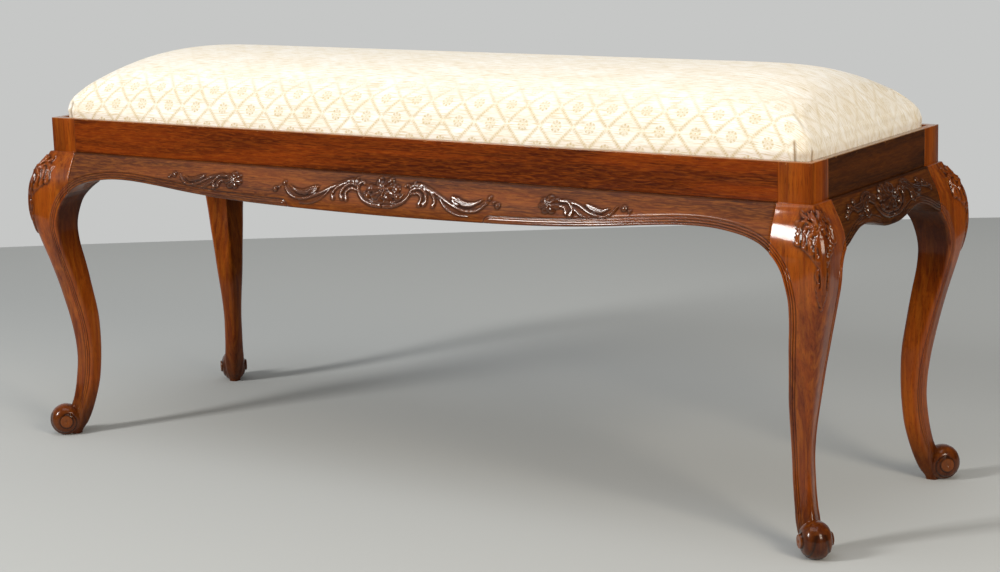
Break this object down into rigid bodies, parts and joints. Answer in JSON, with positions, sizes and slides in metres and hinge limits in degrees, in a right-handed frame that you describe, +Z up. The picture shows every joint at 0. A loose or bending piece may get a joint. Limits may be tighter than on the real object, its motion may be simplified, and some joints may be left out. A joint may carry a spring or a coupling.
{
  "type": "duet stool",
  "caption": "Long low stool on cabriole legs with scroll feet, shaped aprons under plain rails, and a domed drop-in seat that lifts out.",
  "frame": {"origin": "on the floor, under the middle of the stool", "axes": "+Z up, +X along the length of the stool, and the front faces -Y"},
  "size_m": [1.2142, 0.4112, 0.537],
  "materials": {
    "mahogany": "french polished",
    "beech": "planed and left bare",
    "brass_screws": "dull",
    "jute_webbing": "woven",
    "hessian": "plain weave",
    "stuffing": "hair and cotton wadding",
    "damask": "cream damask in a diamond trellis",
    "bottom_cloth": "black calico"
  },
  "bodies": {
    "frame": {"leg_front_left": "mahogany", "leg_front_right": "mahogany", "leg_back_left": "mahogany", "leg_back_right": "mahogany", "top_rail_front": "mahogany", "top_rail_back": "mahogany", "top_rail_left": "mahogany", "top_rail_right": "mahogany", "apron_front": "mahogany", "apron_back": "mahogany", "apron_left": "mahogany", "apron_right": "mahogany", "corner_block_front_left": "beech", "corner_block_front_right": "beech", "corner_block_back_left": "beech", "corner_block_back_right": "beech", "corner_block_screws": "brass_screws"},
    "seat": {"seat_rail_front": "beech", "seat_rail_back": "beech", "seat_rail_left": "beech", "seat_rail_right": "beech", "seat_stretcher_left": "beech", "seat_stretcher_right": "beech", "webbing_cross": "jute_webbing", "webbing_long": "jute_webbing", "hessian": "hessian", "stuffing": "stuffing", "seat_cover": "damask", "bottom_cloth": "bottom_cloth"}
  },
  "joints": [
    {"name": "seat_lift", "type": "slide", "parent": "frame", "child": "seat", "axis": [0, 0, 1], "range_m": [0, 0.08]}
  ]
}
